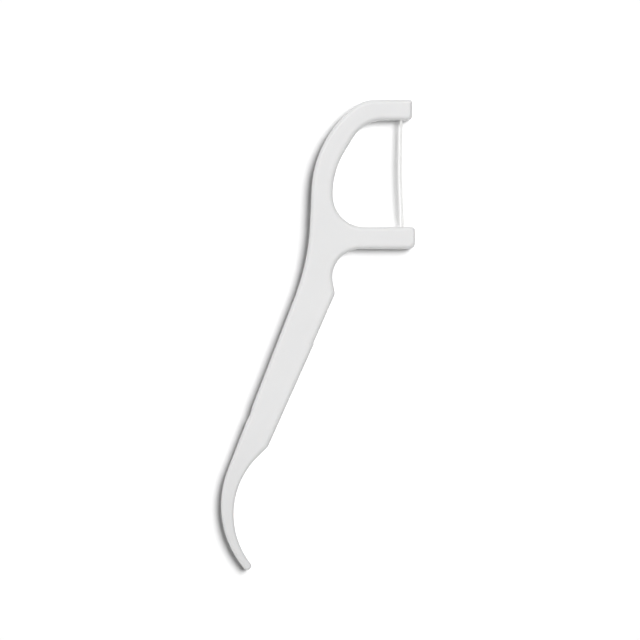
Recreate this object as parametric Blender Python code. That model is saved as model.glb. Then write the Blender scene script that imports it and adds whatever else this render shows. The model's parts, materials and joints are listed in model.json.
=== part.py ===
"""Floss pick: a one-piece moulded frame and the strand of dental floss that it holds taut.

The frame lies on its flat side. +X runs along the two prongs towards their free ends, +Y runs
along the strand towards the upper prong, and +Z goes up through the thickness. The outline is
sketched from the foot of the strand and then moved, so that the origin is the centre of the
whole pick's rectangle, on the surface that it lies on. All lengths are in metres.
"""

import math

import bmesh
import bpy
from mathutils import Vector

# Frame section
frame_thickness = 0.0021
edge_radius = 0.0007
pick_edge_radius = 0.00045
edge_wall_share = 0.95
corner_edge_share = 0.85
edge_growth_share = 0.5

# Prongs
floss_gap = 0.01655
upper_prong_width = 0.00315
lower_prong_width = 0.0034
upper_prong_reach = 0.0016
lower_prong_reach = 0.00205
upper_prong_top_radius = 0.00047
upper_prong_bottom_radius = 0.00071
lower_prong_top_radius = 0.00062
lower_prong_bottom_radius = 0.00093
upper_prong_end_edge_radius = 0.0006
lower_prong_end_edge_radius = 0.00038

# Bow
bow_depth = 0.0107
bow_wall = 0.0033
bow_roof_run = 0.0059
bow_roof_radius = 0.0056
bow_side_radius = 0.0124
bow_foot_radius = 0.0049
bow_inner_lean = math.radians(31.4)
bow_shoulder_run = 0.0061
bow_shoulder_radius = 0.0059
bow_back_radius = 0.0172
bow_outer_lean = math.radians(49.5)
bow_back_lean = math.radians(2.5)

# Neck and handle
crotch_run = 0.01165
crotch_radius = 0.0044
neck_radius = 0.0365
grip_stop_back = 0.01036
grip_stop_drop = 0.01035
grip_stop_radius = 0.0008
handle_lean = math.radians(23.7)
handle_length = 0.0259
handle_width = 0.0056
handle_end_width = 0.00447
handle_corner_radius = 0.0013
gate_run = 0.0083
gate_step = 0.00013
gate_slope_run = 0.0002

# Pick
pick_back = 0.00331
pick_drop = 0.0193
pick_heel_radius = 0.0150
pick_hollow_radius = 0.01255
pick_root_lean = math.radians(46)
pick_outer_lean = math.radians(37.2)
pick_inner_lean = math.radians(36)
tip_width = 0.0012
tip_corner_radius = 0.00054
tip_thickness = 0.0012
crease_run = 0.0230
crease_slope_share = 1.5
crease_dent_run = 0.0012
crease_dent_depth = 0.00016
crease_dent_radius = 0.0040
pick_root_run = 0.0060

# Strand and the bores that hold it
floss_diameter = 0.0004
floss_clearance = 0.00004
floss_lean = 0.00023

# Ejector pin marks on the underside
ejector_diameter = 0.0016
ejector_depth = 0.00008
ejector_run_shares = (0.15, 0.8)

# Fineness of the facets and the overrun of every cut
chord_error = 0.000004
coarsest_chord_share = 0.3
run_step = 0.0012
thinning_step = 0.0022
overrun = 0.0005
section_steps = 4
bore_sides = 20
ejector_sides = 28
strand_resolution = 4
smooth_angle = math.radians(40)

COLLECTION = "floss_pick"
CUTTER_COLLECTION = "cutters"


def clear_scene():
    for existing in list(bpy.data.objects):
        bpy.data.objects.remove(existing, do_unlink=True)


def new_collection(name):
    collection = bpy.data.collections.new(name)
    bpy.context.scene.collection.children.link(collection)
    return collection


def plastic(name, colour, roughness, specular):
    material = bpy.data.materials.new(name)
    material.use_nodes = True
    shader = material.node_tree.nodes["Principled BSDF"]
    shader.inputs["Base Color"].default_value = (*colour, 1)
    shader.inputs["Roughness"].default_value = roughness
    shader.inputs["Metallic"].default_value = 0
    shader.inputs["Specular IOR Level"].default_value = specular
    return material


def downward(lean):
    """Unit vector that points down the sketch, leaning towards +X by the angle."""
    return Vector((math.sin(lean), -math.cos(lean)))


def across(direction):
    """The direction turned a quarter turn to the left."""
    return Vector((-direction.y, direction.x))


def meet(point_a, direction_a, point_b, direction_b):
    """Where the line through point_a crosses the line through point_b."""
    normal = across(direction_b)
    distance = (point_b - point_a).dot(normal) / direction_a.dot(normal)
    return point_a + direction_a * distance


def corner(point, radius=0, side_edge=edge_radius):
    """A corner of the outline, its fillet, and the edge radius of the side that follows it."""
    return (point, radius, side_edge)


def handle_lines():
    """The grip stop, the handle's lower right corner, and a point on the left edge beside each."""
    along = downward(-handle_lean)
    left = -across(along)
    grip_stop = Vector((-grip_stop_back, -grip_stop_drop))
    end = grip_stop + along * handle_length
    return grip_stop, end, grip_stop + left * handle_width, end + left * handle_end_width


def frame_corners():
    """The frame's outline: its corners anticlockwise from the upper prong's end, with radii."""
    top = floss_gap + upper_prong_width
    bottom = -lower_prong_width
    grip_stop, end, left_top, left_end = handle_lines()
    along = (end - grip_stop).normalized()
    left_along = (left_end - left_top).normalized()

    shoulder = Vector((-bow_shoulder_run, top))
    back = Vector((-bow_depth - bow_wall, bow_foot_radius))
    back_direction = downward(-bow_back_lean)
    back_top = meet(shoulder, downward(-bow_outer_lean), back, back_direction)
    neck = meet(back, back_direction, left_top, left_along)

    beside_dent = grip_stop + along * (crease_run - crease_dent_run / 2)
    dent = meet(beside_dent, across(along), left_top, left_along)
    dent_inward = across(left_along) * crease_dent_depth

    tip = end + Vector((-pick_back, -pick_drop))
    tip_inner = tip + across(downward(pick_inner_lean)) * tip_width
    heel = meet(left_top, left_along, tip, downward(pick_outer_lean))
    hollow = meet(end, downward(-pick_root_lean), tip_inner, downward(pick_inner_lean))

    gate = grip_stop + along * gate_run
    gate_stub = gate + along * gate_slope_run + across(along) * gate_step
    crotch = Vector((-crotch_run, bottom))
    foot = Vector((-bow_depth, 0))
    roof = Vector((-bow_roof_run, floss_gap))
    side = meet(roof, downward(-bow_inner_lean), foot, downward(0))
    return [
        corner(Vector((upper_prong_reach, top)), upper_prong_top_radius),
        corner(shoulder, bow_shoulder_radius),
        corner(back_top, bow_back_radius),
        corner(neck, neck_radius),
        corner(dent - left_along * crease_dent_run, crease_dent_radius),
        corner(dent + dent_inward, crease_dent_radius),
        corner(dent + left_along * crease_dent_run, crease_dent_radius),
        corner(heel, pick_heel_radius),
        corner(tip, tip_corner_radius),
        corner(tip_inner, tip_corner_radius),
        corner(hollow, pick_hollow_radius),
        corner(end, handle_corner_radius),
        corner(gate_stub),
        corner(gate),
        corner(grip_stop, grip_stop_radius),
        corner(crotch, crotch_radius),
        corner(
            Vector((lower_prong_reach, bottom)),
            lower_prong_bottom_radius,
            lower_prong_end_edge_radius,
        ),
        corner(Vector((lower_prong_reach, 0)), lower_prong_top_radius),
        corner(foot, bow_foot_radius),
        corner(side, bow_side_radius),
        corner(roof, bow_roof_radius),
        corner(
            Vector((upper_prong_reach, floss_gap)),
            upper_prong_bottom_radius,
            upper_prong_end_edge_radius,
        ),
    ]


def corner_turns(corners):
    """For each corner: its point, unit vectors in and out, turning angle and tangent length."""
    turns = []
    for index, (point, radius, side_edge) in enumerate(corners):
        before = corners[index - 1][0]
        after = corners[(index + 1) % len(corners)][0]
        way_in = (point - before).normalized()
        way_out = (after - point).normalized()
        angle = math.atan2(way_in.cross(way_out), way_in.dot(way_out))
        turns.append([point, way_in, way_out, angle, radius * math.tan(abs(angle) / 2)])
    return turns


def limit_tangents(turns):
    """Shortens the tangents of two neighbouring fillets that would overlap on their shared side."""
    for index in range(len(turns)):
        first, second = turns[index - 1], turns[index]
        side = (second[0] - first[0]).length
        needed = first[4] + second[4]
        if needed > side:
            first[4] *= side / needed
            second[4] *= side / needed


def trace_corner(point, way_in, way_out, angle, tangent):
    """The points of one rounded corner, each with the largest edge radius that it can carry."""
    if tangent <= 0:
        return [(point, math.inf)]
    radius = tangent / math.tan(abs(angle) / 2)
    start = point - way_in * tangent
    centre = start + across(way_in) * math.copysign(radius, angle)
    step = 2 * math.acos(1 - min(chord_error / radius, coarsest_chord_share))
    steps = max(2, math.ceil(abs(angle) / step))
    carried = corner_edge_share * radius if angle > 0 else math.inf
    spoke = start - centre
    traced = []
    for count in range(steps + 1):
        turn = angle * count / steps
        turned = Vector((
            spoke.x * math.cos(turn) - spoke.y * math.sin(turn),
            spoke.x * math.sin(turn) + spoke.y * math.cos(turn),
        ))
        traced.append((centre + turned, carried))
    return traced


def trace_outline(corners):
    """Points round the whole outline: the rounded corners and steps along the straight runs."""
    turns = corner_turns(corners)
    limit_tangents(turns)
    bends = [trace_corner(*turn) for turn in turns]
    traced = []
    for index, bend in enumerate(bends):
        next_bend = bends[(index + 1) % len(bends)]
        traced += bend
        traced += straight_run(bend[-1][0], next_bend[0][0], corners[index][2])
    return without_doubles(traced)


def straight_run(start, end, side_edge):
    """Points between the two ends of a straight run, no further apart than the run step."""
    steps = max(2, math.ceil((end - start).length / run_step))
    return [(start.lerp(end, count / steps), side_edge) for count in range(1, steps)]


def without_doubles(traced):
    """Drops a point that lies on the one before it, as where two fillets meet."""
    kept = []
    for point, carried in traced:
        if not kept or (point - kept[-1][0]).length > chord_error:
            kept.append((point, carried))
    if (kept[0][0] - kept[-1][0]).length <= chord_error:
        kept.pop()
    return kept


def along_handle(point):
    """How far down the handle's direction a point of the sketch lies from the grip stop."""
    return (point - handle_lines()[0]).dot(downward(-handle_lean))


def half_thickness(point):
    """Half of the frame's thickness there: whole up to the crease, then thinner to the tip."""
    run_to_tip = handle_length + pick_drop * math.cos(handle_lean) + pick_back * math.sin(handle_lean)
    share = (along_handle(point) - crease_run) / (run_to_tip - crease_run)
    share = min(max(share, 0), 1)
    drop = share * (crease_slope_share + (1 - crease_slope_share) * share)
    return (frame_thickness - (frame_thickness - tip_thickness) * drop) / 2


def wanted_edge_radius(point):
    """The edge radius from the section: the frame's, easing to the pick's past the handle."""
    share = min(max((along_handle(point) - handle_length) / pick_root_run, 0), 1)
    eased = share * share * (3 - 2 * share)
    return edge_radius + (pick_edge_radius - edge_radius) * eased


def edge_radii(traced):
    """The edge radius at every outline point, held down near tight corners and growing away."""
    count = len(traced)
    radii = [min(wanted_edge_radius(point), carried) for point, carried in traced]
    for sweep in (1, -1):
        for index in range(2 * count):
            here = (index * sweep) % count
            last = (here - sweep) % count
            growth = (traced[here][0] - traced[last][0]).length * edge_growth_share
            radii[here] = min(radii[here], radii[last] + growth)
    return radii


def inward_mitres(traced):
    """The way that each outline point moves for one unit of inset."""
    mitres = []
    points = [point for point, carried in traced]
    for index, point in enumerate(points):
        side_in = across((point - points[index - 1]).normalized())
        side_out = across((points[(index + 1) % len(points)] - point).normalized())
        mitres.append((side_in + side_out) / (1 + side_in.dot(side_out)))
    return mitres


def section_rings():
    """The frame's section from its lower face to its upper: (share of the edge radius, height)."""
    rounding = min(edge_radius, edge_wall_share * frame_thickness / 2)
    land = frame_thickness / 2 - rounding
    quarter = [math.radians(90) * step / section_steps for step in range(section_steps + 1)]
    upper = [(1 - math.cos(angle), land + rounding * math.sin(angle)) for angle in quarter]
    lower = [(share, -height) for share, height in reversed(upper)]
    return lower + upper


def frame_mesh():
    """The frame as a loft of the outline through its rounded section, thinned towards the tip.

    The rings are joined face by face, because the rounding changes its width along the edge.
    """
    traced = trace_outline(frame_corners())
    radii = edge_radii(traced)
    mitres = inward_mitres(traced)
    bm = bmesh.new()
    rings = []
    for share, height in section_rings():
        ring = []
        for (point, carried), radius, mitre in zip(traced, radii, mitres):
            inset = point + mitre * radius * share
            ring.append(bm.verts.new((inset.x, inset.y, height)))
        rings.append(ring)
    for lower, upper in zip(rings, rings[1:]):
        for index in range(len(lower)):
            bm.faces.new((lower[index - 1], lower[index], upper[index], upper[index - 1]))
    bm.faces.new(reversed(rings[0]))
    bm.faces.new(rings[-1])
    thin_the_pick(bm)
    mesh = bpy.data.meshes.new("moulded_frame")
    bm.to_mesh(mesh)
    bm.free()
    return mesh


def thin_the_pick(bm):
    """Cuts the faces across the pick, so that they can bend, and lowers them to its thickness."""
    grip_stop = handle_lines()[0]
    along = downward(-handle_lean)
    furthest = max(along_handle(vertex.co.xy) for vertex in bm.verts)
    stations = math.ceil((furthest - crease_run) / thinning_step)
    for count in range(stations):
        point = grip_stop + along * (crease_run + (furthest - crease_run) * count / stations)
        bmesh.ops.bisect_plane(
            bm,
            geom=bm.verts[:] + bm.edges[:] + bm.faces[:],
            dist=chord_error,
            plane_co=(point.x, point.y, 0),
            plane_no=(along.x, along.y, 0),
        )
    for vertex in bm.verts:
        vertex.co.z *= half_thickness(vertex.co.xy) / (frame_thickness / 2)


def rod(name, foot, head, radius, sides, collection):
    """A closed cylinder from foot to head, for a cutter."""
    bpy.ops.mesh.primitive_cylinder_add(vertices=sides, radius=radius, depth=(head - foot).length)
    cylinder = bpy.context.object
    cylinder.name = name
    cylinder.location = (foot + head) / 2
    cylinder.rotation_mode = "QUATERNION"
    cylinder.rotation_quaternion = (head - foot).to_track_quat("Z", "Y")
    cylinder.hide_render = True
    cylinder.display_type = "WIRE"
    for holder in list(cylinder.users_collection):
        holder.objects.unlink(cylinder)
    collection.objects.link(cylinder)
    return cylinder


def cut(target, cutter):
    modifier = target.modifiers.new(cutter.name, "BOOLEAN")
    modifier.operation = "DIFFERENCE"
    modifier.solver = "EXACT"
    modifier.object = cutter


def strand_point(height):
    """A point of the strand's centreline at that height of the sketch."""
    return Vector((-floss_lean * height / floss_gap, height, 0))


def make_strand(collection, material):
    """The strand, from the lower prong's outer face to the upper prong's."""
    curve = bpy.data.curves.new("floss_strand", "CURVE")
    curve.dimensions = "3D"
    curve.bevel_depth = floss_diameter / 2
    curve.bevel_resolution = strand_resolution
    curve.use_fill_caps = True
    line = curve.splines.new("POLY")
    heights = (-lower_prong_width, 0, floss_gap, floss_gap + upper_prong_width)
    line.points.add(len(heights) - 1)
    for point, height in zip(line.points, heights):
        point.co = (*strand_point(height), 1)
    curve.materials.append(material)
    strand = bpy.data.objects.new("floss_strand", curve)
    collection.objects.link(strand)
    return strand


def ejector_centres():
    """Where the ejector pins pushed: at the root of the lower prong and twice on the handle."""
    grip_stop, end, left_top, left_end = handle_lines()
    centres = [Vector((-bow_depth - bow_wall / 2, -lower_prong_width / 2))]
    for run_share in ejector_run_shares:
        centres.append((grip_stop.lerp(end, run_share) + left_top.lerp(left_end, run_share)) / 2)
    return centres


def outline_centre():
    """The centre of the rectangle that the outline fills."""
    points = [point for point, carried in trace_outline(frame_corners())]
    across_sizes = [point.x for point in points]
    up_sizes = [point.y for point in points]
    return Vector((
        (min(across_sizes) + max(across_sizes)) / 2,
        (min(up_sizes) + max(up_sizes)) / 2,
    ))


def build():
    clear_scene()
    parts = new_collection(COLLECTION)
    cutters = new_collection(CUTTER_COLLECTION)
    white_plastic = plastic("white_moulded_plastic", (0.80, 0.80, 0.805), 0.42, 0.5)
    white_fibre = plastic("white_floss_fibre", (0.90, 0.90, 0.89), 0.55, 0.4)

    centre = outline_centre()
    sketch = bpy.data.objects.new("sketch_origin", None)
    sketch.location = (-centre.x, -centre.y, frame_thickness / 2)
    parts.objects.link(sketch)

    mesh = frame_mesh()
    mesh.materials.append(white_plastic)
    frame = bpy.data.objects.new("moulded_frame", mesh)
    parts.objects.link(frame)
    strand = make_strand(parts, white_fibre)

    bore = rod(
        "strand_bore",
        strand_point(-lower_prong_width - overrun),
        strand_point(floss_gap + upper_prong_width + overrun),
        floss_diameter / 2 + floss_clearance,
        bore_sides,
        cutters,
    )
    cut(frame, bore)
    children = [frame, strand, bore]
    underside = -frame_thickness / 2
    for index, place in enumerate(ejector_centres()):
        mark = rod(
            f"ejector_mark_{index + 1}",
            Vector((place.x, place.y, underside - overrun)),
            Vector((place.x, place.y, underside + ejector_depth)),
            ejector_diameter / 2,
            ejector_sides,
            cutters,
        )
        cut(frame, mark)
        children.append(mark)
    for child in children:
        child.parent = sketch
    frame.data.shade_smooth()
    frame.data.set_sharp_from_angle(angle=smooth_angle)


build()
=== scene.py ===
"""Looks of the floss pick: the moulded frame with its mould marks, the strand's filaments,
and the photograph's light.

Lengths are in metres. The outline is sketched from the foot of the strand, +X along the prongs
and +Y along the strand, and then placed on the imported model.
"""
import json
import math
from collections import namedtuple

import bmesh
import bpy
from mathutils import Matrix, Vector, noise

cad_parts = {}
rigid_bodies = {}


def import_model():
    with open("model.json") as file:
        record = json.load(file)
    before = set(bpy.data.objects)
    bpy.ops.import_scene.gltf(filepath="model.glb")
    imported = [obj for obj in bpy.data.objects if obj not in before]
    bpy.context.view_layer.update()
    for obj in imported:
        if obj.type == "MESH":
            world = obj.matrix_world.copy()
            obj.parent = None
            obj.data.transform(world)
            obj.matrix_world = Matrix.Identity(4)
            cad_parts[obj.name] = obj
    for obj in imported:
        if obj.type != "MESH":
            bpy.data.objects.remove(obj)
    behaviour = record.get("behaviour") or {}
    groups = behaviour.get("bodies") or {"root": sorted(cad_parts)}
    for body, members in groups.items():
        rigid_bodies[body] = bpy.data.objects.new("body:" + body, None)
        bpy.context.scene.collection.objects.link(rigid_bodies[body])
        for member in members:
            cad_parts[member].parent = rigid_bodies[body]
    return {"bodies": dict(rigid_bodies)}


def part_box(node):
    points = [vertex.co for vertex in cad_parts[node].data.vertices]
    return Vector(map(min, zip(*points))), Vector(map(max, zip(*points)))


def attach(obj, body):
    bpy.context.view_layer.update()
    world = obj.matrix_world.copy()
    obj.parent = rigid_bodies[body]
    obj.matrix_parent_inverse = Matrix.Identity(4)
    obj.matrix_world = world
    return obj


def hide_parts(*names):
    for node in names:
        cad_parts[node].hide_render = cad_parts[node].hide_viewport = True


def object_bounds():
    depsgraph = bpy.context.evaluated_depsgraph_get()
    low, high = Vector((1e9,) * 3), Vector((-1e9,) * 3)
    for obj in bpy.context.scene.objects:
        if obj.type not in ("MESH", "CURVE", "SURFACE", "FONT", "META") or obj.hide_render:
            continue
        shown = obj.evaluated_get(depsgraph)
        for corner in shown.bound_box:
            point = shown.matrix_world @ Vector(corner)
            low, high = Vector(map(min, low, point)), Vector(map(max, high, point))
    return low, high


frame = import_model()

CAD_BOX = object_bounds()
BODY = next(iter(frame["bodies"]))
FRAME_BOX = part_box("moulded_frame")

# Frame section
frame_thickness = 0.0021
edge_radius = 0.0007
pick_edge_radius = 0.00045
edge_wall_share = 0.95
corner_edge_share = 0.85
edge_growth_share = 0.5

# Prongs
floss_gap = 0.01655
upper_prong_width = 0.00315
lower_prong_width = 0.0034
upper_prong_reach = 0.0016
lower_prong_reach = 0.00205
upper_prong_top_radius = 0.00047
upper_prong_bottom_radius = 0.00071
lower_prong_top_radius = 0.00062
lower_prong_bottom_radius = 0.00093
upper_prong_end_edge_radius = 0.0006
lower_prong_end_edge_radius = 0.00038

# Bow
bow_depth = 0.0107
bow_wall = 0.0033
bow_roof_run = 0.0059
bow_roof_radius = 0.0056
bow_side_radius = 0.0124
bow_foot_radius = 0.0049
bow_inner_lean = math.radians(31.4)
bow_shoulder_run = 0.0061
bow_shoulder_radius = 0.0059
bow_back_radius = 0.0172
bow_outer_lean = math.radians(49.5)
bow_back_lean = math.radians(2.5)

# Neck and handle
crotch_run = 0.01165
crotch_radius = 0.0044
neck_radius = 0.0365
grip_stop_back = 0.01036
grip_stop_drop = 0.01035
grip_stop_radius = 0.0008
handle_lean = math.radians(23.7)
handle_length = 0.0259
handle_width = 0.0056
handle_end_width = 0.00447
handle_corner_radius = 0.0013
gate_run = 0.0083
gate_step = 0.00013
gate_slope_run = 0.0002

# Pick
pick_back = 0.00331
pick_drop = 0.0193
pick_heel_radius = 0.0150
pick_hollow_radius = 0.01255
pick_root_lean = math.radians(46)
pick_root_run = 0.0060
pick_outer_lean = math.radians(37.2)
pick_inner_lean = math.radians(36)
tip_width = 0.0012
tip_corner_radius = 0.00054
tip_thickness = 0.0012
crease_run = 0.0230
crease_slope_share = 1.5
crease_dent_run = 0.0012
crease_dent_depth = 0.00016
crease_dent_radius = 0.0040

# Strand
floss_diameter = 0.0004
floss_lean = 0.00023
floss_shift = 0.00013
floss_lift = 0.00015
floss_slack = 0.00018
cut_end_proud = 0.00004
filament_rings = 2
filaments_in_first_ring = 6
filament_diameter = floss_diameter / (2 * filament_rings + 1)
filament_turn_run = 0.0140
filament_wander = 0.000012
filament_waves_per_turn = 9
filament_noise_step = 3.7

# Mould marks
parting_ridge = 0.000018
parting_ridge_half = 0.00004
ejector_diameter = 0.0016
ejector_depth = 0.00008
ejector_overrun = 0.0005
ejector_run_shares = (0.15, 0.8)
gate_scar_half_run = 0.00065
gate_scar_half_height = 0.00045
gate_scar_depth = 0.00005
gate_scar_steepness = 3
gate_scar_grain = 0.00016

# Fineness
chord_error = 0.0000006
coarsest_chord_share = 0.3
fewest_steps = 2
run_step = 0.00022
thinning_step = 0.0007
section_steps = 9
ejector_sides = 64
filament_step = 0.00035
filament_sides = 8
floor_sides = 96
frame_sharp_angle = math.radians(50)
strand_sharp_angle = math.radians(60)

# Plastic
plastic_colours = ((0.800, 0.800, 0.802), (0.812, 0.812, 0.812))
plastic_roughnesses = (0.36, 0.46)
plastic_cloud_size = 0.0045
plastic_gloss_size = 0.0016
plastic_scatter_length = 0.0004
flow_wave_size = 0.0038
flow_wave_height = 0.000012
mould_grain_size = 0.00022
mould_grain_height = 0.0000025

# Fibre
fibre_colours = ((0.90, 0.90, 0.885), (0.95, 0.95, 0.94))
fibre_roughnesses = (0.42, 0.6)
fibre_streak_size = 0.0006
fibre_gloss_size = 0.0004
fibre_grain_size = 0.00005
fibre_grain_height = 0.000001
fibre_scatter_length = 0.0002

# The range in which nearly all values of a noise texture lie
noise_range = (0.3, 0.7)

# The photograph's frame, in its pixels and at its scale
photo_side_pixels = 640
strand_foot_pixel = (401.75, 227)
metres_per_pixel = 0.000155
camera_lens_mm = 150
camera_sensor_mm = 36
camera_clip_start = 0.01

# Floor, just under the frame, and darker to light on its way than to the camera
floor_radius = 1.2
floor_gap = 0.00003
floor_colour = 0.88
floor_bounce_colour = 0.72

# Strength of the surround overhead and at the horizon, which glows more on one side
world_zenith = 0.095
world_horizon = 0.36
world_horizon_rise = 0.45
glow_azimuth = math.radians(150)
glow_side_share = 0.6

# Lamps. A lamp's level is how bright it alone makes a white level surface, 1 being full white
lamp_distance = 1.60
key_level = 0.22
key_elevation = math.radians(57)
key_azimuth = math.radians(112)
key_radius = 0.02
key_cone = math.radians(4.5)
key_blend = 0.45
fill_level = 0.615
fill_spread = math.radians(95)
strand_fill_level = 0.95
strand_fill_spread = math.radians(165)
under_fill_level = 0.30
under_fill_spread = math.radians(20)
shadow_lamp_level = 1.04
shadow_lamp_elevation = math.radians(54)
shadow_lamp_azimuth = math.radians(31)
shadow_lamp_spread = math.radians(36)

# A corner of the outline, its fillet, and the edge radius of the side that follows it
Corner = namedtuple("Corner", "point radius side_edge", defaults=(0, edge_radius))

# A spot on the traced outline, and the largest edge radius that it can carry
Spot = namedtuple("Spot", "point edge_limit")


# Outline

def downward(lean):
    """Unit vector that points down the sketch, leaning towards +X by the angle."""
    return Vector((math.sin(lean), -math.cos(lean)))


def across(way):
    """The way turned a quarter turn to the left."""
    return Vector((-way.y, way.x))


def meet(point_a, way_a, point_b, way_b):
    """Where the line through point_a crosses the line through point_b."""
    normal = across(way_b)
    distance = (point_b - point_a).dot(normal) / way_a.dot(normal)
    return point_a + way_a * distance


def grip_stop_point():
    """The corner of the grip stop, where the handle's right edge starts."""
    return Vector((-grip_stop_back, -grip_stop_drop))


def gate_point():
    """Where the gate stub starts on the handle's right edge."""
    return grip_stop_point() + downward(-handle_lean) * gate_run


def handle_lines():
    """The grip stop, the handle's lower right corner, and a point on the left edge beside each."""
    along = downward(-handle_lean)
    left = -across(along)
    grip_stop = grip_stop_point()
    end = grip_stop + along * handle_length
    return grip_stop, end, grip_stop + left * handle_width, end + left * handle_end_width


def frame_corners():
    """The frame's outline: its corners anticlockwise from the upper prong's end, with radii."""
    top = floss_gap + upper_prong_width
    bottom = -lower_prong_width
    grip_stop, end, left_top, left_end = handle_lines()
    along = (end - grip_stop).normalized()
    left_along = (left_end - left_top).normalized()

    shoulder = Vector((-bow_shoulder_run, top))
    back = Vector((-bow_depth - bow_wall, bow_foot_radius))
    back_way = downward(-bow_back_lean)
    back_top = meet(shoulder, downward(-bow_outer_lean), back, back_way)
    neck = meet(back, back_way, left_top, left_along)

    beside_dent = grip_stop + along * (crease_run - crease_dent_run / 2)
    dent = meet(beside_dent, across(along), left_top, left_along)
    dent_inward = across(left_along) * crease_dent_depth

    tip = end + Vector((-pick_back, -pick_drop))
    tip_inner = tip + across(downward(pick_inner_lean)) * tip_width
    heel = meet(left_top, left_along, tip, downward(pick_outer_lean))
    hollow = meet(end, downward(-pick_root_lean), tip_inner, downward(pick_inner_lean))

    gate = gate_point()
    gate_stub = gate + along * gate_slope_run + across(along) * gate_step
    crotch = Vector((-crotch_run, bottom))
    foot = Vector((-bow_depth, 0))
    roof = Vector((-bow_roof_run, floss_gap))
    side = meet(roof, downward(-bow_inner_lean), foot, downward(0))
    return [
        Corner(Vector((upper_prong_reach, top)), upper_prong_top_radius),
        Corner(shoulder, bow_shoulder_radius),
        Corner(back_top, bow_back_radius),
        Corner(neck, neck_radius),
        Corner(dent - left_along * crease_dent_run, crease_dent_radius),
        Corner(dent + dent_inward, crease_dent_radius),
        Corner(dent + left_along * crease_dent_run, crease_dent_radius),
        Corner(heel, pick_heel_radius),
        Corner(tip, tip_corner_radius),
        Corner(tip_inner, tip_corner_radius),
        Corner(hollow, pick_hollow_radius),
        Corner(end, handle_corner_radius),
        Corner(gate_stub),
        Corner(gate),
        Corner(grip_stop, grip_stop_radius),
        Corner(crotch, crotch_radius),
        Corner(
            Vector((lower_prong_reach, bottom)),
            lower_prong_bottom_radius,
            lower_prong_end_edge_radius,
        ),
        Corner(Vector((lower_prong_reach, 0)), lower_prong_top_radius),
        Corner(foot, bow_foot_radius),
        Corner(side, bow_side_radius),
        Corner(roof, bow_roof_radius),
        Corner(
            Vector((upper_prong_reach, floss_gap)),
            upper_prong_bottom_radius,
            upper_prong_end_edge_radius,
        ),
    ]


class Bend:
    """A corner of the outline with its turning angle and the length of its fillet's tangents."""

    def __init__(self, before, corner, after):
        self.point = corner.point
        self.way_in = (corner.point - before.point).normalized()
        way_out = (after.point - corner.point).normalized()
        self.angle = math.atan2(self.way_in.cross(way_out), self.way_in.dot(way_out))
        self.tangent = corner.radius * math.tan(abs(self.angle) / 2)

    def trace(self):
        """The spots along the fillet, or the corner alone where it is sharp."""
        if self.tangent <= 0:
            return [Spot(self.point, math.inf)]
        radius = self.tangent / math.tan(abs(self.angle) / 2)
        start = self.point - self.way_in * self.tangent
        centre = start + across(self.way_in) * math.copysign(radius, self.angle)
        step = 2 * math.acos(1 - min(chord_error / radius, coarsest_chord_share))
        steps = max(fewest_steps, math.ceil(abs(self.angle) / step))
        # A hollow corner grows wider as it is inset, so it can carry any edge radius
        edge_limit = corner_edge_share * radius if self.angle > 0 else math.inf
        spoke = start - centre
        spots = []
        for count in range(steps + 1):
            turn = self.angle * count / steps
            turned = Vector((
                spoke.x * math.cos(turn) - spoke.y * math.sin(turn),
                spoke.x * math.sin(turn) + spoke.y * math.cos(turn),
            ))
            spots.append(Spot(centre + turned, edge_limit))
        return spots


def limit_tangents(bends):
    """Shortens the tangents of two neighbouring fillets that would overlap on their side."""
    for index, second in enumerate(bends):
        first = bends[index - 1]
        side = (second.point - first.point).length
        needed = first.tangent + second.tangent
        if needed > side:
            first.tangent *= side / needed
            second.tangent *= side / needed


def straight_run(start, end, side_edge):
    """Spots between the two ends of a straight run, no further apart than the run step."""
    steps = max(fewest_steps, math.ceil((end - start).length / run_step))
    return [Spot(start.lerp(end, count / steps), side_edge) for count in range(1, steps)]


def trace_outline(corners):
    """Spots round the whole outline: the rounded corners and steps along the straight runs."""
    bends = []
    for index, corner in enumerate(corners):
        bends.append(Bend(corners[index - 1], corner, corners[(index + 1) % len(corners)]))
    limit_tangents(bends)
    arcs = [bend.trace() for bend in bends]
    outline = []
    for index, arc in enumerate(arcs):
        next_arc = arcs[(index + 1) % len(arcs)]
        outline += arc
        outline += straight_run(arc[-1].point, next_arc[0].point, corners[index].side_edge)
    kept = []
    for spot in outline:
        if not kept or (spot.point - kept[-1].point).length > chord_error:
            kept.append(spot)
    if (kept[0].point - kept[-1].point).length <= chord_error:
        kept.pop()
    return kept


# Section and thickness

def along_handle(point):
    """How far down the handle's direction a point of the sketch lies from the grip stop."""
    return (point - grip_stop_point()).dot(downward(-handle_lean))


def half_thickness(point):
    """Half of the frame's thickness there: whole up to the crease, then thinner to the tip."""
    run_to_tip = (
        handle_length
        + pick_drop * math.cos(handle_lean)
        + pick_back * math.sin(handle_lean)
    )
    share = (along_handle(point) - crease_run) / (run_to_tip - crease_run)
    share = min(max(share, 0), 1)
    drop = share * (crease_slope_share + (1 - crease_slope_share) * share)
    return (frame_thickness - (frame_thickness - tip_thickness) * drop) / 2


def wanted_edge_radius(point):
    """The edge radius from the section: the frame's, easing to the pick's past the handle."""
    share = min(max((along_handle(point) - handle_length) / pick_root_run, 0), 1)
    eased = share * share * (3 - 2 * share)
    return edge_radius + (pick_edge_radius - edge_radius) * eased


def edge_radii(outline):
    """The edge radius at every spot, held down near tight corners and growing away from them."""
    count = len(outline)
    radii = [min(wanted_edge_radius(spot.point), spot.edge_limit) for spot in outline]
    for sweep in (1, -1):
        # Twice round, because the outline is closed and its last spot also limits its first
        for index in range(2 * count):
            here = (index * sweep) % count
            last = (here - sweep) % count
            growth = (outline[here].point - outline[last].point).length * edge_growth_share
            radii[here] = min(radii[here], radii[last] + growth)
    return radii


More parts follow.
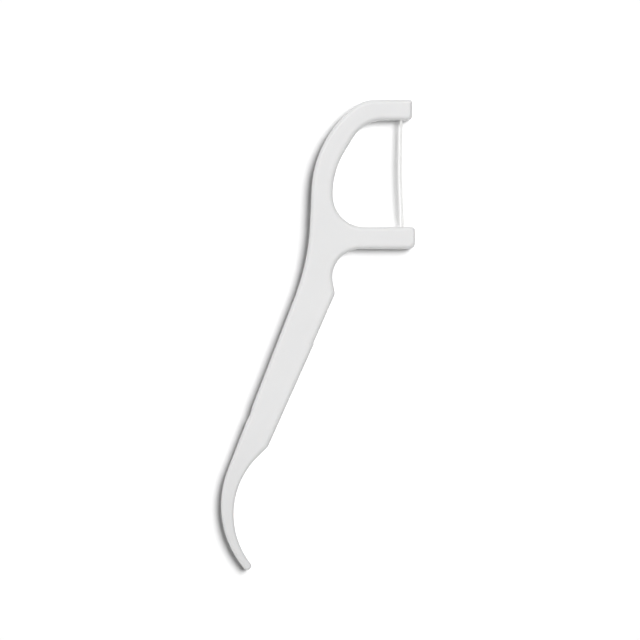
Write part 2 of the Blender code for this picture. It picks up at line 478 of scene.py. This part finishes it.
def inward_mitres(points):
    """The way that each outline point moves for one unit of inset."""
    mitres = []
    for index, point in enumerate(points):
        side_in = across((point - points[index - 1]).normalized())
        side_out = across((points[(index + 1) % len(points)] - point).normalized())
        mitres.append((side_in + side_out) / (1 + side_in.dot(side_out)))
    return mitres


def section_rings():
    """The section from bottom to top: (share of the edge radius, outward bulge, height)."""
    rounding = min(edge_radius, edge_wall_share * frame_thickness / 2)
    land = frame_thickness / 2 - rounding
    quarter = [math.radians(90) * step / section_steps for step in range(section_steps + 1)]
    upper = [(1 - math.cos(angle), 0, land + rounding * math.sin(angle)) for angle in quarter]
    lower = [(share, bulge, -height) for share, bulge, height in reversed(upper)]
    parting = [(0, 0, -parting_ridge_half), (0, parting_ridge, 0), (0, 0, parting_ridge_half)]
    return lower + parting + upper


def gate_scar(point, height):
    """How far the torn gate makes the side stand out there, or in where it is below zero."""
    run = (point - gate_point()).length / gate_scar_half_run
    rise = height / gate_scar_half_height
    reach = 1 - run * run - rise * rise
    if reach <= 0:
        return 0
    place = Vector((point.x, point.y, height)) / gate_scar_grain
    return gate_scar_depth * min(1, gate_scar_steepness * reach) * noise.noise(place)


# Meshes and objects

def join_rings(bm, rings):
    """Faces from ring to ring and over both ends, for rings anticlockwise seen from the last."""
    for lower, upper in zip(rings, rings[1:]):
        for index in range(len(lower)):
            bm.faces.new((lower[index - 1], lower[index], upper[index], upper[index - 1]))
    bm.faces.new(reversed(rings[0]))
    bm.faces.new(rings[-1])


def finished_mesh(name, bm):
    """A mesh of that name made from the working one, which is freed."""
    mesh = bpy.data.meshes.new(name)
    bm.to_mesh(mesh)
    bm.free()
    return mesh


def add_object(name, data):
    """An object in the scene that holds this mesh, lamp or camera."""
    item = bpy.data.objects.new(name, data)
    bpy.context.scene.collection.objects.link(item)
    return item


def sketch_origin():
    """Where the sketch's origin, the foot of the strand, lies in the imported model's frame."""
    low, high = FRAME_BOX
    return Vector((
        high.x - lower_prong_reach,
        high.y - floss_gap - upper_prong_width,
        (low.z + high.z) / 2,
    ))


def add_piece(name, bm, material):
    """A piece of the object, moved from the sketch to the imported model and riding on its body."""
    bmesh.ops.translate(bm, verts=bm.verts, vec=sketch_origin())
    piece = add_object(name, finished_mesh(name, bm))
    piece.data.materials.append(material)
    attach(piece, BODY)
    return piece


# Moulded frame

def cut_stations(bm):
    """Cuts the faces across the pick, so that they can follow its thinning."""
    grip_stop = grip_stop_point()
    along = downward(-handle_lean)
    furthest = max(along_handle(vertex.co.xy) for vertex in bm.verts)
    stations = math.ceil((furthest - crease_run) / thinning_step)
    for count in range(stations):
        point = grip_stop + along * (crease_run + (furthest - crease_run) * count / stations)
        bmesh.ops.bisect_plane(
            bm,
            geom=bm.verts[:] + bm.edges[:] + bm.faces[:],
            dist=chord_error,
            plane_co=(point.x, point.y, 0),
            plane_no=(along.x, along.y, 0),
        )


def lofted_frame():
    """The frame's mesh: the outline lofted through its section, with the pick thinned."""
    outline = trace_outline(frame_corners())
    points = [spot.point for spot in outline]
    radii = edge_radii(outline)
    mitres = inward_mitres(points)
    bm = bmesh.new()
    rings = []
    for share, bulge, height in section_rings():
        ring = []
        for point, radius, mitre in zip(points, radii, mitres):
            out = bulge + gate_scar(point, height)
            inset = point + mitre * (radius * share - out)
            ring.append(bm.verts.new((inset.x, inset.y, height)))
        rings.append(ring)
    join_rings(bm, rings)
    cut_stations(bm)
    for vertex in bm.verts:
        vertex.co.z *= half_thickness(vertex.co.xy) / (frame_thickness / 2)
    return bm


def ejector_centres():
    """Where the ejector pins pushed: at the root of the lower prong and twice on the handle."""
    grip_stop, end, left_top, left_end = handle_lines()
    centres = [Vector((-bow_depth - bow_wall / 2, -lower_prong_width / 2))]
    for run_share in ejector_run_shares:
        right = grip_stop.lerp(end, run_share)
        left = left_top.lerp(left_end, run_share)
        centres.append((right + left) / 2)
    return centres


def press_ejector_marks(body):
    """Presses the round ejector marks into the underside."""
    height = -frame_thickness / 2 + ejector_depth - ejector_overrun
    bm = bmesh.new()
    for centre in ejector_centres():
        pin = bmesh.ops.create_cone(
            bm,
            cap_ends=True,
            segments=ejector_sides,
            radius1=ejector_diameter / 2,
            radius2=ejector_diameter / 2,
            depth=2 * ejector_overrun,
        )
        shift = sketch_origin() + Vector((centre.x, centre.y, height))
        bmesh.ops.translate(bm, verts=pin["verts"], vec=shift)
    pins = add_object("ejector_pins", finished_mesh("ejector_pins", bm))
    cut = body.modifiers.new("ejector_marks", "BOOLEAN")
    cut.operation = "DIFFERENCE"
    cut.solver = "EXACT"
    cut.object = pins
    graph = bpy.context.evaluated_depsgraph_get()
    pressed = bpy.data.meshes.new_from_object(body.evaluated_get(graph))
    body.modifiers.clear()
    body.data = pressed
    bpy.data.objects.remove(pins)


def make_frame_body(material):
    """The moulded frame with its parting ridge, gate scar and ejector marks."""
    body = add_piece("moulded_body", lofted_frame(), material)
    press_ejector_marks(body)
    body.data.shade_smooth()
    body.data.set_sharp_from_angle(angle=frame_sharp_angle)
    weighted = body.modifiers.new("weighted_normals", "WEIGHTED_NORMAL")
    weighted.keep_sharp = True
    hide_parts("moulded_frame")
    return body


# Strand

def filament_places():
    """Where each filament lies in the strand's section, as (distance from its middle, angle)."""
    places = [(0, 0)]
    for ring in range(1, filament_rings + 1):
        count = filaments_in_first_ring * ring
        for number in range(count):
            places.append((ring * filament_diameter, math.tau * number / count))
    return places


def strand_sway(height):
    """How far the strand's centreline lies beside the sketch's Y axis: it leans and bows."""
    share = min(max(height / floss_gap, 0), 1)
    lean = floss_lean * height / floss_gap
    return floss_shift - lean - floss_slack * math.sin(math.pi * share) ** 2


def filament_centres(number, distance, angle):
    """The points that one filament runs through, from the lower prong's outside to the upper's."""
    start = -lower_prong_width - cut_end_proud
    end = floss_gap + upper_prong_width + cut_end_proud
    steps = math.ceil((end - start) / filament_step)
    centres = []
    for step in range(steps + 1):
        height = start + (end - start) * step / steps
        turn = angle + math.tau * height / filament_turn_run
        wave = height / filament_turn_run * filament_waves_per_turn
        drift = noise.noise(Vector((wave, number * filament_noise_step, 0)))
        reach = distance + drift * filament_wander
        beside = strand_sway(height) + reach * math.cos(turn)
        centres.append(Vector((beside, height, floss_lift + reach * math.sin(turn))))
    return centres


def add_tube(bm, centres, radius, sides):
    """A closed tube through the centres, which all run along +Y."""
    rings = []
    for centre in centres:
        ring = []
        for side in range(sides):
            angle = math.tau * side / sides
            offset = Vector((math.cos(angle), 0, math.sin(angle))) * radius
            ring.append(bm.verts.new(centre + offset))
        rings.append(ring)
    # From +X to +Z is anticlockwise seen from the first ring, so that one is joined last
    join_rings(bm, rings[::-1])


def make_strand(material):
    """The strand as a bundle of filaments that turn slowly round each other."""
    bm = bmesh.new()
    for number, (distance, angle) in enumerate(filament_places()):
        centres = filament_centres(number, distance, angle)
        add_tube(bm, centres, filament_diameter / 2, filament_sides)
    strand = add_piece("strand_filaments", bm, material)
    strand.data.shade_smooth()
    strand.data.set_sharp_from_angle(angle=strand_sharp_angle)
    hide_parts("floss_strand")
    return strand


# Materials

class Nodes:
    """The node tree of a material or world, with short ways to add and feed its nodes."""

    def __init__(self, owner):
        owner.use_nodes = True
        self.tree = owner.node_tree

    def feed(self, node, inputs):
        """Links each input to the output given for it, or sets it to the plain value given."""
        for key, source in inputs.items():
            if isinstance(source, bpy.types.NodeSocket):
                self.tree.links.new(source, node.inputs[key])
            else:
                node.inputs[key].default_value = source

    def add(self, kind, inputs=None, **settings):
        """A new node of that kind, with its settings made and its inputs fed."""
        node = self.tree.nodes.new(kind)
        for key, value in settings.items():
            setattr(node, key, value)
        self.feed(node, inputs or {})
        return node

    def noise_texture(self, size, detail, roughness=0.5):
        """Noise in object space whose blobs are about that many metres across."""
        place = self.add("ShaderNodeTexCoord")
        texture = self.add("ShaderNodeTexNoise", {
            "Vector": place.outputs["Object"],
            "Scale": 1 / size,
            "Detail": detail,
            "Roughness": roughness,
        })
        return texture.outputs["Fac"]

    def map_range(self, value, low, high, from_low=0, from_high=1, **settings):
        """The value mapped from its own range to low to high, and held between them."""
        mapped = self.add("ShaderNodeMapRange", {
            "Value": value,
            "From Min": from_low,
            "From Max": from_high,
            "To Min": low,
            "To Max": high,
        }, **settings)
        return mapped.outputs["Result"]

    def noise_between(self, low, high, size, detail):
        """Noise spread over the range from low to high."""
        return self.map_range(self.noise_texture(size, detail), low, high, *noise_range)

    def blend(self, share, first, second):
        """The first colour where the share is 0, and the second where it is 1."""
        mixed = self.add("ShaderNodeMix", {
            "Factor": share,
            "A": (*first, 1),
            "B": (*second, 1),
        }, data_type="RGBA")
        return mixed.outputs["Result"]

    def bump(self, inputs):
        """The normal that a bump node makes of these inputs at full strength."""
        bumped = self.add("ShaderNodeBump", {"Strength": 1, **inputs})
        return bumped.outputs["Normal"]

    def larger(self, first, second):
        """The larger of two values."""
        return self.add("ShaderNodeMath", {0: first, 1: second}, operation="MAXIMUM").outputs[0]

    def seen_directly(self):
        """1 to the camera, in reflections and through glass, and 0 to light on its way."""
        path = self.add("ShaderNodeLightPath").outputs
        seen = self.larger(path["Is Camera Ray"], path["Is Glossy Ray"])
        return self.larger(seen, path["Is Transmission Ray"])


def plastic_material():
    """White moulded plastic: cloudy by a hair, with a fine mould grain and faint flow waves."""
    material = bpy.data.materials.new("white_moulded_plastic")
    nodes = Nodes(material)
    cloud = nodes.noise_between(0, 1, plastic_cloud_size, detail=3)
    waves = nodes.bump({
        "Height": nodes.noise_texture(flow_wave_size, detail=1),
        "Distance": flow_wave_height,
    })
    grain = nodes.bump({
        "Height": nodes.noise_texture(mould_grain_size, detail=3, roughness=0.6),
        "Distance": mould_grain_height,
        "Normal": waves,
    })
    nodes.feed(nodes.tree.nodes["Principled BSDF"], {
        "Base Color": nodes.blend(cloud, *plastic_colours),
        "Roughness": nodes.noise_between(*plastic_roughnesses, plastic_gloss_size, detail=3),
        "Normal": grain,
        "Specular IOR Level": 0.45,
        "IOR": 1.49,
        "Subsurface Weight": 0.35,
        "Subsurface Radius": (1.0, 0.95, 0.9),
        "Subsurface Scale": plastic_scatter_length,
    })
    return material


def fibre_material():
    """Lightly waxed white filament: brighter than the plastic, with a soft sheen."""
    material = bpy.data.materials.new("white_floss_fibre")
    nodes = Nodes(material)
    streak = nodes.noise_between(0, 1, fibre_streak_size, detail=2)
    grain = nodes.bump({
        "Height": nodes.noise_texture(fibre_grain_size, detail=1),
        "Distance": fibre_grain_height,
    })
    nodes.feed(nodes.tree.nodes["Principled BSDF"], {
        "Base Color": nodes.blend(streak, *fibre_colours),
        "Roughness": nodes.noise_between(*fibre_roughnesses, fibre_gloss_size, detail=2),
        "Normal": grain,
        "Specular IOR Level": 0.4,
        "Sheen Weight": 0.15,
        "Subsurface Weight": 0.3,
        "Subsurface Radius": (1.0, 1.0, 0.95),
        "Subsurface Scale": fibre_scatter_length,
    })
    return material


def floor_material():
    """White from above, and clear from below."""
    material = bpy.data.materials.new("white_floor")
    nodes = Nodes(material)
    nodes.tree.nodes.clear()
    grey = nodes.map_range(nodes.seen_directly(), floor_bounce_colour, floor_colour)
    white = nodes.add("ShaderNodeBsdfDiffuse", {"Color": grey})
    clear = nodes.add("ShaderNodeBsdfTransparent")
    facing = nodes.add("ShaderNodeNewGeometry")
    sided = nodes.add("ShaderNodeMixShader", {
        0: facing.outputs["Backfacing"],
        1: white.outputs[0],
        2: clear.outputs[0],
    })
    nodes.add("ShaderNodeOutputMaterial", {"Surface": sided.outputs[0]})
    return material


# Stage and light

def make_floor():
    """A white floor that keeps the object's shadow and can be looked through from below."""
    bm = bmesh.new()
    bmesh.ops.create_circle(bm, cap_ends=True, segments=floor_sides, radius=floor_radius)
    floor = add_object("floor", finished_mesh("floor", bm))
    floor.location.z = CAD_BOX[0].z - floor_gap
    floor.data.materials.append(floor_material())
    return floor


def way_towards(azimuth, elevation):
    """Unit vector towards a light at that azimuth, from +X towards +Y, and elevation."""
    return Vector((
        math.cos(elevation) * math.cos(azimuth),
        math.cos(elevation) * math.sin(azimuth),
        math.sin(elevation),
    ))


def make_world():
    """A surround that the camera and reflections see white, and that lights most low down."""
    world = bpy.data.worlds.new("surround")
    bpy.context.scene.world = world
    nodes = Nodes(world)
    place = nodes.add("ShaderNodeTexCoord").outputs["Generated"]
    height = nodes.add("ShaderNodeSeparateXYZ", {"Vector": place}).outputs["Z"]
    side = nodes.add("ShaderNodeVectorMath", {
        0: place,
        1: way_towards(glow_azimuth, 0),
    }, operation="DOT_PRODUCT").outputs["Value"]
    horizon = nodes.map_range(
        side,
        world_horizon * (1 - glow_side_share),
        world_horizon * (1 + glow_side_share),
        from_low=-1,
    )
    lighting = nodes.map_range(
        height,
        horizon,
        world_zenith,
        from_high=world_horizon_rise,
        interpolation_type="SMOOTHSTEP",
    )
    nodes.feed(nodes.tree.nodes["Background"], {
        "Color": (1, 1, 1, 1),
        "Strength": nodes.map_range(nodes.seen_directly(), lighting, 1),
    })


def gather(name, objects):
    """A collection of these objects, for a lamp's light linking."""
    collection = bpy.data.collections.new(name)
    for item in objects:
        collection.objects.link(item)
    return collection


def add_lamp(name, data, towards, target, lit):
    """A lamp on that side of the target, which lights only the objects named as lit."""
    lamp = add_object(name, data)
    lamp.location = target + towards * lamp_distance
    lamp.rotation_mode = "QUATERNION"
    lamp.rotation_quaternion = towards.to_track_quat("Z", "Y")
    lamp.light_linking.receiver_collection = gather("lit_by_" + name, lit)
    return lamp


def add_key(target, lit):
    """The key, a narrow spot lamp that lights a level surface at the target to its level."""
    towards = way_towards(key_azimuth, key_elevation)
    data = bpy.data.lights.new("key", "SPOT")
    data.shadow_soft_size = key_radius
    data.spot_size = key_cone
    data.spot_blend = key_blend
    # The power counts for a whole sphere, 4 pi, and a white surface sends back 1 / pi of its share
    data.energy = key_level * 4 * math.pi ** 2 * lamp_distance ** 2 / towards.z
    return add_lamp("key", data, towards, target, lit)


def add_sun(name, level, spread, towards, target, lit):
    """A sun lamp that lights a level surface to that level, from a disc of that spread."""
    data = bpy.data.lights.new(name, "SUN")
    data.angle = spread
    data.energy = level * math.pi / abs(towards.z)
    return add_lamp(name, data, towards, target, lit)


def make_lamps(floor, body, strand):
    """The key and fills of the object, and the lamp that casts its shadow on the floor.

    The photograph's shading and its shadow don't come from the same side, so the object and
    the floor have lamps of their own. The lamp from below shines through the floor.
    """
    aim = sketch_origin() + Vector((-bow_depth, floss_gap / 2, 0))
    above = Vector((0, 0, 1))
    beside = way_towards(shadow_lamp_azimuth, shadow_lamp_elevation)
    whole = [body, strand]
    add_key(aim, [body])
    add_sun("fill", fill_level, fill_spread, above, aim, [body])
    add_sun("strand_fill", strand_fill_level, strand_fill_spread, above, aim, [strand])
    add_sun("shadow_lamp", shadow_lamp_level, shadow_lamp_spread, beside, aim, [floor])
    under = add_sun("under_fill", under_fill_level, under_fill_spread, -above, aim, whole)
    under.light_linking.blocker_collection = gather("shading_under_fill", whole)


def make_camera():
    """The photograph's camera: straight above, with a long lens, framing the same rectangle."""
    foot_x, foot_y = strand_foot_pixel
    right = (photo_side_pixels / 2 - foot_x) * metres_per_pixel
    up = (foot_y - photo_side_pixels / 2) * metres_per_pixel
    distance = photo_side_pixels * metres_per_pixel * camera_lens_mm / camera_sensor_mm
    data = bpy.data.cameras.new("camera")
    data.lens = camera_lens_mm
    data.sensor_width = camera_sensor_mm
    data.clip_start = camera_clip_start
    camera = add_object("camera", data)
    camera.location = sketch_origin() + Vector((right, up, distance))
    bpy.context.scene.camera = camera


make_camera()
body = make_frame_body(plastic_material())
strand = make_strand(fibre_material())
floor = make_floor()
make_world()
make_lamps(floor, body, strand)
bpy.context.scene.view_settings.view_transform = "Standard"
